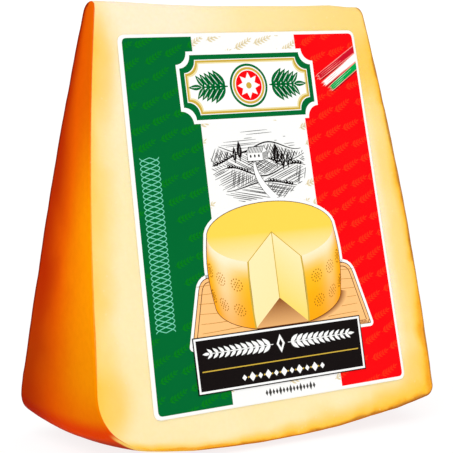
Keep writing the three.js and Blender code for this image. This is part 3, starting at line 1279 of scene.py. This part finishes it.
def hatch(degrees, spacing, width, keep):
    """Parallel lines in one direction, a little uneven, over the places that keep accepts."""
    angle = math.radians(degrees)
    reach = VIEW_REACH.x * 1.1
    steps = round(2 * reach / LINE_STEP)
    for i in range(round(2 * reach / spacing)):
        beside = -reach + i * spacing + engraver.uniform(-0.2, 0.2) * spacing
        bow = engraver.uniform(-0.2, 0.2)
        bent = [beside + bow * math.sin(math.pi * k / steps) for k in range(steps + 1)]
        line = [turned((-reach + LINE_STEP * k, height), angle) for k, height in enumerate(bent)]
        draw_pieces([tuple(point) for point in line], width, 0.12, keep)


# %% Hills and sky
HILLS = [  # height of the ridge, size and length of its waves, where they start, direction of the hatching
    (4.6, 1.1, 17.0, 0.4, 62),
    (2.0, 1.5, 22.0, 2.6, -28),
    (-1.4, 1.3, 19.0, 4.4, 20),
    (-5.0, 0.9, 24.0, 1.2, -12),
]
CLOUDS = [((-6.5, 7.6), (3.6, 1.0)), ((3.5, 7.0), (4.4, 0.8)), ((8.4, 6.0), (2.4, 0.6))]
HEDGES = [(1, -13, -7.2), (1, 3.6, 9.5), (2, -9.0, -3.0), (3, 2.5, 9.0), (2, 9.6, 12.5)]  # hill, from, to
RIDGE_STEPS, RIDGE_WIDTH = 36, 0.34
HATCH_WIDTH = 0.17
HATCH_SPACING, SHADE_SPACING = 0.52, 0.6
SHADE_TURN = 55  # degrees between the hatching and the second one on a slope in shade


def ridge(hill, x):
    height, size, length, start, _ = hill
    return height + size * math.sin(2 * math.pi * x / length + start)


def falls_away(hill, x):
    """Whether the hill's slope faces right, away from the light."""
    return ridge(hill, x + 0.5) < ridge(hill, x - 0.5)


def draw_hill(hill, next_hill):
    def on_hill(x, y):
        return y < ridge(hill, x) - 0.3 and (next_hill is None or y > ridge(next_hill, x) + 0.25)

    def in_shade(x, y):
        return on_hill(x, y) and falls_away(hill, x)

    xs = [VIEW_REACH.x * (i / RIDGE_STEPS * 2 - 1) for i in range(RIDGE_STEPS + 1)]
    draw_pieces([(x, ridge(hill, x)) for x in xs], RIDGE_WIDTH, 0.06)
    *_, degrees = hill
    hatch(degrees, HATCH_SPACING, HATCH_WIDTH, on_hill)
    hatch(degrees + SHADE_TURN, SHADE_SPACING, HATCH_WIDTH, in_shade)


def draw_hedge(hill, start, end):
    """Round bushes along a ridge, dark below and light above."""
    x = start
    while x < end:
        size = engraver.uniform(0.3, 0.55)
        place = VIEW_CENTRE + Vector((x, ridge(hill, x) + size * 0.5))
        draw("black", MASS_LEVEL, disc(*place, size, steps=12))
        draw("white", LIGHT_LEVEL, disc(place.x - size * 0.3, place.y + size * 0.3, size * 0.3, steps=8))
        x += size * 1.7


def in_clear_sky(x, y):
    return y > ridge(HILLS[0], x) + 0.4 and not any(in_ellipse(x, y, *cloud) for cloud in CLOUDS)


def draw_landscape():
    hatch(degrees=2, spacing=0.66, width=0.12, keep=in_clear_sky)
    for hill, next_hill in zip(HILLS, [*HILLS[1:], None]):
        draw_hill(hill, next_hill)
    for hill, start, end in HEDGES:
        draw_hedge(HILLS[hill], start, end)


draw_landscape()


# %% Cypresses, a farmhouse and a road
CYPRESSES = [  # x, foot, height
    (-5.4, 1.4, 4.8),
    (-6.9, 1.0, 3.8),
    (5.2, -0.6, 5.6),
    (7.0, -1.4, 4.4),
    (8.5, -1.0, 3.4),
]
ROOF_LINES, WINDOWS, GABLE_LINES = 10, 3, 5


def draw_cypress(x, foot, height):
    base = VIEW_CENTRE + Vector((x, foot))
    trunk = dash(base, (0, height * 0.2), 0.24)
    flame = leaf(base + Vector((0, height * 0.1)), math.pi / 2, height * 0.95, height * 0.3)
    draw("black", MASS_LEVEL, trunk, flame)
    for k in range(3):
        side = base + Vector((height * 0.03 * (k - 1), height * (0.3 + 0.12 * k)))
        draw("white", LIGHT_LEVEL, dash(side, (0.04, height * 0.22), 0.09, 0.3))


def draw_farmhouse(x, foot):
    base = VIEW_CENTRE + Vector((x, foot))
    wall = [(0, 0), (4.2, 0), (4.2, 2.0), (0, 2.0)]
    gable = [(4.2, 0), (5.8, 0.5), (5.8, 2.3), (5.0, 3.3), (4.2, 2.0)]
    roof = [(-0.3, 1.9), (4.3, 1.9), (5.1, 3.4), (0.6, 3.3)]
    for ink, level, grow in (("black", MASS_LEVEL, 0.2), ("white", LIGHT_LEVEL, 0.0)):
        for part in (wall, gable, roof):
            draw(ink, level, inset([base + Vector(p) for p in part], -grow))
    for k in range(ROOF_LINES):
        low = base + Vector((0.1 + k * 0.45, 1.98))
        draw("black", DETAIL_LEVEL, dash(low, (0.62, 1.3), 0.17))
    for k in range(WINDOWS):
        draw("black", DETAIL_LEVEL, disc(base.x + 0.9 + 1.2 * k, base.y + 1.15, 0.26, 0.4, steps=8))
    for k in range(GABLE_LINES):
        low = base + Vector((4.45 + 0.28 * k, 0.2 + 0.09 * k))
        draw("black", DETAIL_LEVEL, dash(low, (0.05, 1.7), 0.15))


def draw_road():
    def side_of_road(side):
        return curve(lambda t: (-1.5 + 5.5 * t * t + side * (0.3 + 1.1 * t), 0.6 - 9.5 * t), 12)

    left, right = side_of_road(-1), side_of_road(1)
    road = [VIEW_CENTRE + p for p in left + right[::-1] if in_view(p, 0.97)]
    draw("white", MASS_LEVEL, road)
    for side in (left, right):
        draw_pieces(side, 0.26)


draw_road()
draw_farmhouse(-3.2, 1.2)
for x, foot, height in CYPRESSES:
    draw_cypress(x, foot, height)
print("engraving:", len(plates["black"].faces), "faces so far")

# %% [markdown]
# ## Picture of a wheel on a board
# The large picture is a whole wheel of cheese with a wedge taken out of it, on a wooden board. It is made
# of patches whose corner points carry their own ink colour, worked out from where they are: a patch
# shades smoothly from gold to cream where the wheel faces the light. Small rosettes of dots stand for the
# marks that are pressed into such a rind. A white rim goes round it all, so that it stands out from the
# green and the red.


# %% Shaded patches
def mixable(red, green, blue):
    """A paint as a vector, so that two of them can be mixed at any point."""
    return Vector(paint(red, green, blue)[:3])


YOLK = mixable(255, 214, 60)
SUNLIT = mixable(255, 246, 218)
HONEY = mixable(255, 178, 8)
TOFFEE = mixable(248, 150, 14)
PASTE_INK = mixable(255, 240, 190)
BOARD_TAN = mixable(255, 196, 128)
BOARD_SHADE = mixable(136, 70, 24)
picture = bmesh.new()
ink_colour = picture.verts.layers.float_color.new("ink")


def add_patch(place_at, colour_at, rows, columns, level):
    """A closed plate over a grid of shares (u, v), each of its points with a colour."""
    def layer(height):
        grid = []
        for row in range(rows + 1):
            points = []
            for column in range(columns + 1):
                u, v = column / columns, row / rows
                point = picture.verts.new((*place_at(u, v), height))
                point[ink_colour] = (*colour_at(u, v), 1.0)
                points.append(point)
            grid.append(points)
        return grid

    lower, upper = layer(INK_FOOT), layer(LABEL_FACE + INK_STEP * level)
    for row in range(rows):
        for column in range(columns):
            for grid, flip in ((upper, False), (lower, True)):
                quad = [
                    grid[row][column],
                    grid[row][column + 1],
                    grid[row + 1][column + 1],
                    grid[row + 1][column],
                ]
                picture.faces.new(quad[::-1] if flip else quad)
    edge = [(0, c) for c in range(columns)] + [(r, columns) for r in range(rows)]
    edge += [(rows, c) for c in range(columns, 0, -1)] + [(r, 0) for r in range(rows, 0, -1)]
    add_walls(picture, [lower[r][c] for r, c in edge], [upper[r][c] for r, c in edge])


def peak(value, centre, width):
    return math.exp(-(((value - centre) / width) ** 2))


# %% The pictured wheel
WHEEL_TOP = Vector((1.4, -4.4))
WHEEL_REACH = Vector((18.4, 7.4))
WHEEL_DROP = 16.4
NOTCH = (math.radians(-115), math.radians(-65))
NOTCH_SHADES = (0.1, 0.65)  # how yellow the left and the right cut are at their foot
SIDE_LIGHTS = [  # degrees round the wheel, width, strength, share of it that is lost towards the foot
    (-142, 13, 0.55, 0.4),
    (-34, 10, 0.3, 0.5),
]
TURN_STEPS, DROP_STEPS = 24, 8
NEARLY_ALL = 0.999  # how far a patch runs towards the wheel's middle, where its points would meet
LINES_LEVEL, TOP_LEVEL, SIDE_LEVEL = 14, 13, 12
PIN_ROWS = (0.36, 0.74)  # as shares of the wheel's drop
PIN_COLUMNS = (-166, -147, -128, -52, -33, -14)  # degrees round the wheel
PIN_RINGS = ((0.0, 1), (0.45, 6), (1.0, 12))  # size, dots
PIN_SIZE = 0.21


def wheel_edge(angle, drop):
    """A point of the pictured wheel's side: drop is 0 at its top and 1 at its foot."""
    swell = 1 + 0.055 * math.sin(math.pi * min(drop * 0.9 + 0.06, 1))
    x = WHEEL_REACH.x * swell * math.cos(angle)
    y = WHEEL_REACH.y * swell * math.sin(angle) - WHEEL_DROP * drop
    return WHEEL_TOP + Vector((x, y))


def side_colour(angle, drop):
    degrees = math.degrees(angle)
    colour = YOLK.lerp(HONEY, min(1, 0.4 + drop))
    for centre, width, strength, lost in SIDE_LIGHTS:
        colour = colour.lerp(SUNLIT, strength * peak(degrees, centre, width) * (1 - lost * drop))
    colour = colour.lerp(SUNLIT, 0.85 * peak(drop, 0.0, 0.15))
    colour = colour.lerp(TOFFEE, 0.5 * peak(degrees, -4, 12) + 0.35 * peak(degrees, -176, 9))
    return colour.lerp(TOFFEE, 0.9 * max(drop - 0.5, 0))


def top_colour(angle, reach):
    front = 0.5 - 0.5 * math.sin(angle) * reach
    return YOLK.lerp(SUNLIT, 0.06 + 0.94 * max(front - 0.5, 0) ** 0.75)


def draw_notch():
    """The two cut faces and the shaded board between them."""
    drop = Vector((0, -WHEEL_DROP))
    for angle, shade in zip(NOTCH, NOTCH_SHADES):
        outer = wheel_edge(angle, 0)
        left, right = (outer, WHEEL_TOP) if angle == NOTCH[0] else (WHEEL_TOP, outer)
        add_patch(
            lambda u, v: left.lerp(right, u) + drop * (1 - v),
            lambda u, v: PASTE_INK.lerp(YOLK, shade * (1 - v) + 0.12),
            rows=6, columns=6, level=TOP_LEVEL,
        )
    left, right = (wheel_edge(angle, 1) for angle in NOTCH)
    add_patch(
        lambda u, v: (WHEEL_TOP + drop).lerp(left.lerp(right, u), 1 - NEARLY_ALL * v),
        lambda u, v: BOARD_TAN.lerp(BOARD_SHADE, 0.25 + 0.75 * v),
        rows=6, columns=6, level=SIDE_LEVEL + 0.5,
    )


def draw_wheel():
    for start, end in ((-math.pi, NOTCH[0]), (NOTCH[1], 0.0)):
        add_patch(
            lambda u, v: wheel_edge(start + (end - start) * u, 1 - v),
            lambda u, v: side_colour(start + (end - start) * u, 1 - v),
            rows=12, columns=20, level=SIDE_LEVEL,
        )
    sweep = 2 * math.pi - (NOTCH[1] - NOTCH[0])
    add_patch(
        lambda u, v: WHEEL_TOP.lerp(wheel_edge(NOTCH[1] + sweep * u, 0), 1 - NEARLY_ALL * v),
        lambda u, v: top_colour(NOTCH[1] + sweep * u, 1 - v),
        rows=10, columns=64, level=TOP_LEVEL,
    )
    draw_notch()
    for angle in NOTCH:
        down = [wheel_edge(angle, i / DROP_STEPS) for i in range(DROP_STEPS + 1)]
        draw("gold", LINES_LEVEL, stroke([WHEEL_TOP, down[0]], 0.2), stroke(down, 0.45))
    draw("gold", LINES_LEVEL, dash(WHEEL_TOP, (0, -WHEEL_DROP), 0.22))


def draw_pin_marks():
    """Rosettes of dots pressed into the rind, in two rows. They narrow as the side turns away."""
    for drop in PIN_ROWS:
        for degrees in PIN_COLUMNS:
            for ring, count in PIN_RINGS:
                for k in range(count):
                    turn = 2 * math.pi * k / count
                    angle = math.radians(degrees) + 0.1 * ring * math.cos(turn)
                    place = wheel_edge(angle, drop + 0.085 * ring * math.sin(turn))
                    width = PIN_SIZE * max(0.5, -math.sin(angle))
                    draw("bronze", LINES_LEVEL, disc(*place, width, PIN_SIZE, steps=6))


def wheel_outline(grow):
    upper = [wheel_edge(math.pi * i / TURN_STEPS, 0) for i in range(TURN_STEPS + 1)]
    left = [wheel_edge(math.pi, i / DROP_STEPS) for i in range(1, DROP_STEPS)]
    lower = [wheel_edge(math.pi * (1 + i / TURN_STEPS), 1) for i in range(TURN_STEPS + 1)]
    right = [wheel_edge(2 * math.pi, 1 - i / DROP_STEPS) for i in range(1, DROP_STEPS)]
    return inset(upper + left + lower + right, -grow)


# %% The board, and the whole picture
BOARD = [(-24.6, -30, 0.1), (28.0, -30, 0.1), (23.6, -14.0, 2.8), (-20.4, -14.0, 2.8)]  # x, y, rounding
WHITE_RIM = 0.95
BOARD_LAYERS = [  # ink, level, how far inside the outline
    ("brown", 8, -0.2),
    ("tan", 9, 0.0),
    ("brown", 9.5, 0.75),
    ("tan", 10, 0.95),
]
WOOD_LINES, WOOD_PITCH = 6, 2.2


def draw_board():
    board = rounded(BOARD, steps=5)
    for outline in (board, wheel_outline(0)):
        draw("white", 7, inset(outline, -WHITE_RIM))
    for ink, level, step in BOARD_LAYERS:
        draw(ink, level, inset(board, step))
    for k in range(WOOD_LINES):
        start, end = Vector((-21.6, -15.8 - WOOD_PITCH * k)), Vector((24.6, -16.0 - WOOD_PITCH * k))
        line = curve(lambda t: start.lerp(end, t) + Vector((0, 0.25 * math.sin(9 * t + k))), 24)
        draw("bronze", 10.5, stroke(line, 0.16, 0.6))
    add_patch(
        lambda u, v: wheel_edge(math.pi * (u - 1), 1) + Vector((2.1, -0.5)) * (1 - v),
        lambda u, v: BOARD_TAN.lerp(BOARD_SHADE, v),
        rows=4, columns=40, level=11,
    )
    draw("brown", 11.5, wheel_outline(0.16))


draw_board()
draw_wheel()
draw_pin_marks()
print("picture:", len(picture.faces), "faces")


# %% The ink of the picture
PICTURE_WORN = paint(250, 190, 60)


def make_picture_ink():
    material, tree, shader = new_material("picture ink", roughness=0.34, specular=0.06)
    colour = add_node(tree, "ShaderNodeAttribute", attribute_name="ink").outputs["Color"]
    fine = grain(tree, INK_GRAIN)
    uneven = blend_colours(tree, mottle(tree, fine, 0.0, 0.05, start=0.35), colour, PICTURE_WORN)
    finish_surface(tree, shader, uneven, fine, INK_ROUGHNESS)
    return material


picture_ink = make_picture_ink()
print("material:", picture_ink.name)

# %% [markdown]
# ## Banner, braid and ribbon
# The lower banner is a black field in a white and a thin black line, split by a gold rule, with a white
# garland above the rule and a row of diamonds below it. A close braid runs down the green field. Three
# short brush strokes in the label's own colours cross its upper right corner.

# %% Banner
BANNER_LEFT, BANNER_RIGHT = -24.7, 24.7
BANNER_FOOT, BANNER_TOP = -41.5, -27.8
BANNER_LAYERS = [("black", 16, 0.0), ("white", 17, 0.26), ("black", 18, 0.78)]  # ink, level, how far inside
ON_BANNER = 19
RULE_HEIGHT, RULE_REACH, RULE_WIDTH = -36.1, 23.0, 0.28
ROW_HEIGHT, ROW_PITCH, ROW_REACH = -38.9, 2.3, 5  # the row of diamonds, and how many it has on either side
LARGE_DIAMOND, SMALL_DIAMOND = (1.9, 2.3), (1.35, 1.5)  # width, height
GARLAND_SHAPE = {"length": 18.2, "pairs": 11, "leaf_length": 2.9, "leaf_width": 1.05, "stem": 0.3}
GARLAND_START = 2.2


def box_outline(left, foot, right, top):
    return [(left, foot), (right, foot), (right, top), (left, top)]


def draw_banner():
    for ink, level, step in BANNER_LAYERS:
        corners = (BANNER_LEFT + step, BANNER_FOOT + step, BANNER_RIGHT - step, BANNER_TOP - step)
        draw(ink, level, box_outline(*corners))
    rule = (-RULE_REACH, RULE_HEIGHT - RULE_WIDTH / 2, RULE_REACH, RULE_HEIGHT + RULE_WIDTH / 2)
    draw("gold", ON_BANNER, box_outline(*rule))
    middle = Vector((0, (BANNER_TOP + RULE_HEIGHT) / 2))
    draw("white", ON_BANNER, diamond(*middle, 2.4, 4.6))
    draw("black", ON_BANNER + 1, diamond(*middle, 1.1, 2.2))
    for angle in (0, math.pi):
        start = middle + turned((GARLAND_START, 0), angle)
        draw("white", ON_BANNER, *twig(start, angle, **GARLAND_SHAPE))
    for k in range(-ROW_REACH, ROW_REACH + 1):
        size = SMALL_DIAMOND if k % 2 else LARGE_DIAMOND
        draw("white", ON_BANNER, diamond(ROW_PITCH * k, ROW_HEIGHT, *size))
    for k in range(-ROW_REACH, ROW_REACH):
        draw("gold", ON_BANNER, disc(ROW_PITCH * (k + 0.5), ROW_HEIGHT, 0.24, steps=8))


draw_banner()
print("banner:", BANNER_RIGHT - BANNER_LEFT, "by", round(BANNER_TOP - BANNER_FOOT, 1), "mm")

# %% Braid and marks
BRAID_X_TOP, BRAID_X_FOOT = -30.2, -31.35
BRAID_TOP, BRAID_FOOT = 16.0, -25.6
BRAID_STRANDS = 4
BRAID_TURNS = 8
BRAID_SWING, BRAID_WIDTH = 2.6, 0.2
BRAID_STEPS = 192
STRAND_STEP = 0.3  # how much higher each strand lies than the one before, in ink steps
MARKS, MARK_PITCH = 15, 1.0
MARKS_START, MARKS_HEIGHT = -5.6, -43.4
TALL_MARK, SHORT_MARK = (0.86, 2.1), (0.74, 1.4)  # width, height


def draw_braid():
    for strand in range(BRAID_STRANDS):
        def place(t, phase=2 * math.pi * strand / BRAID_STRANDS):
            swing = BRAID_SWING * math.sin(2 * math.pi * BRAID_TURNS * t + phase)
            x = BRAID_X_TOP + (BRAID_X_FOOT - BRAID_X_TOP) * t
            return (x + swing, BRAID_TOP + (BRAID_FOOT - BRAID_TOP) * t)

        draw("teal", FINE_LEVEL + STRAND_STEP * strand, stroke(curve(place, BRAID_STEPS), BRAID_WIDTH))


def draw_marks():
    for k in range(MARKS):
        size = TALL_MARK if k % 3 == 1 else SHORT_MARK
        draw("grey", FINE_LEVEL, diamond(MARKS_START + MARK_PITCH * k, MARKS_HEIGHT, *size))


draw_braid()
draw_marks()
print("braid:", BRAID_STRANDS, "strands, and", MARKS, "marks")

# %% Brush strokes
BRISTLES = 4
STREAKS = 4
BRISTLE_LENGTH = 1.0
TIP_WIDTH, PINK_TIP_WIDTH = 1.3, 1.6
SHADOW_SHIFT = Vector((0.25, -0.45))
PINK_SHIFT = Vector((-0.3, -0.2))
RIBBONS = [  # ink, streaks, tip, then the heights of the lower and the upper edge where the print ends
    ("crimson", "pink", (21.2, 33.5), 39.7, 41.6),
    ("white", "pink", (22.7, 31.7), 37.4, 39.6),
    ("bright_green", "pale_green", (24.6, 30.4), 35.3, 37.3),
]


def brush_stroke(tip, tip_width, low, high):
    """A stroke from ragged bristles to the print's edge, where it is as wide as low to high."""
    end = Vector((ink_edge((low + high) / 2), (low + high) / 2))
    along = (end - tip).normalized()
    across = Vector((-along.y, along.x)) * tip_width / 2
    inward = along * BRISTLE_LENGTH
    outline = [tip - across + inward, Vector((ink_edge(low), low)), Vector((ink_edge(high), high))]
    for k in range(BRISTLES, 0, -1):
        share = (2 * k - 1) / BRISTLES - 1
        outline.append(tip + across * (share + 1 / BRISTLES) + inward)
        outline.append(tip + across * share + along * 0.5 * (k % 2))
    return outline


def draw_ribbons():
    pick = random.Random(3)
    for level, (ink, streaks, tip, low, high) in enumerate(RIBBONS, start=FINE_LEVEL + 1):
        tip = Vector(tip)
        draw("dark_red", FINE_LEVEL, brush_stroke(tip + SHADOW_SHIFT, TIP_WIDTH, low - 0.5, high - 0.5))
        draw("pink", level, brush_stroke(tip + PINK_SHIFT, PINK_TIP_WIDTH, low - 0.1, high + 0.1))
        draw(ink, level + 0.5, brush_stroke(tip, TIP_WIDTH, low + 0.12, high - 0.12))
        for k in range(STREAKS):
            reach = pick.uniform(0.35, 0.8)
            height = low + (high - low) * (k + 0.5) / STREAKS
            end = Vector((ink_edge(height), height))
            start = tip + Vector((-0.25, 0.35)) * (k - 1.5) + (end - tip) * 0.1
            streak = [start, start.lerp(end, reach / 2), start.lerp(end, reach)]
            draw(streaks, level + 1, stroke(streak, 0.13, 0.3))


draw_ribbons()
print("brush strokes:", len(RIBBONS))

# %% Every ink becomes a piece
ink_pieces = [onto_label(bm, "ink_" + name, inks[name]) for name, bm in plates.items()]
ink_pieces.append(onto_label(picture, "ink_picture", picture_ink))
print("print:", len(ink_pieces), "pieces,", sum(len(p.data.polygons) for p in ink_pieces), "faces")

# %% [markdown]
# ## Stage, light and sky
# The wedge stands on a plain floor under an even white sky. The floor is a dull grey that glows nearly
# white by itself, so the shadow on it stays faint. One sun, made so wide that its shadows are soft, comes
# over the left shoulder of the camera. It lights the floor alike near and far, so the floor meets the sky
# without a line. The sky that the camera sees is a little brighter than the sky that lights the wedge.
# That keeps the ground of the picture white and the colours of the cheese deep.

# %% Floor
FLOOR_SIZE = 60.0  # metres, so that its edge is lost in the sky
FLOOR_GREY = (0.22, 0.22, 0.22, 1)
FLOOR_GLOW = 0.84
WHITE = (1, 1, 1, 1)


def make_floor():
    bm = bmesh.new()
    bmesh.ops.create_grid(bm, x_segments=1, y_segments=1, size=FLOOR_SIZE / 2)
    material, _, _ = new_material(
        "pale floor", roughness=0.9, specular=0.0,
        Base_Color=FLOOR_GREY, Emission_Color=WHITE, Emission_Strength=FLOOR_GLOW,
    )
    floor = add_object("floor", mesh_of(bm, "floor", material))
    return floor


print("floor:", [round(side) for side in make_floor().dimensions[:2]], "m")


# %% Sky and sun
SKY_LIGHT = 0.74
SKY_SEEN = 1.1
SUN_FROM = Vector((-0.48, -0.56, 0.68))
SUN_STRENGTH = 1.0
SUN_WIDTH = math.radians(50)


def make_sky():
    world = bpy.data.worlds.new("sky")
    world.use_nodes = True
    tree = world.node_tree
    seen = add_node(tree, "ShaderNodeLightPath").outputs["Is Camera Ray"]
    strength = ramp(tree, seen, 0.0, 1.0, SKY_LIGHT, SKY_SEEN)
    tree.links.new(strength, tree.nodes["Background"].inputs["Strength"])
    tree.nodes["Background"].inputs["Color"].default_value = WHITE
    bpy.context.scene.world = world


def make_sun():
    data = bpy.data.lights.new("sun", "SUN")
    data.energy = SUN_STRENGTH
    data.angle = SUN_WIDTH
    sun = add_object("sun", data)
    sun.rotation_euler = SUN_FROM.to_track_quat("Z", "Y").to_euler()


make_sky()
make_sun()
bpy.context.scene.view_settings.view_transform = "Standard"
print("sun stands", round(math.degrees(math.atan2(SUN_FROM.z, SUN_FROM.xy.length))), "degrees high")
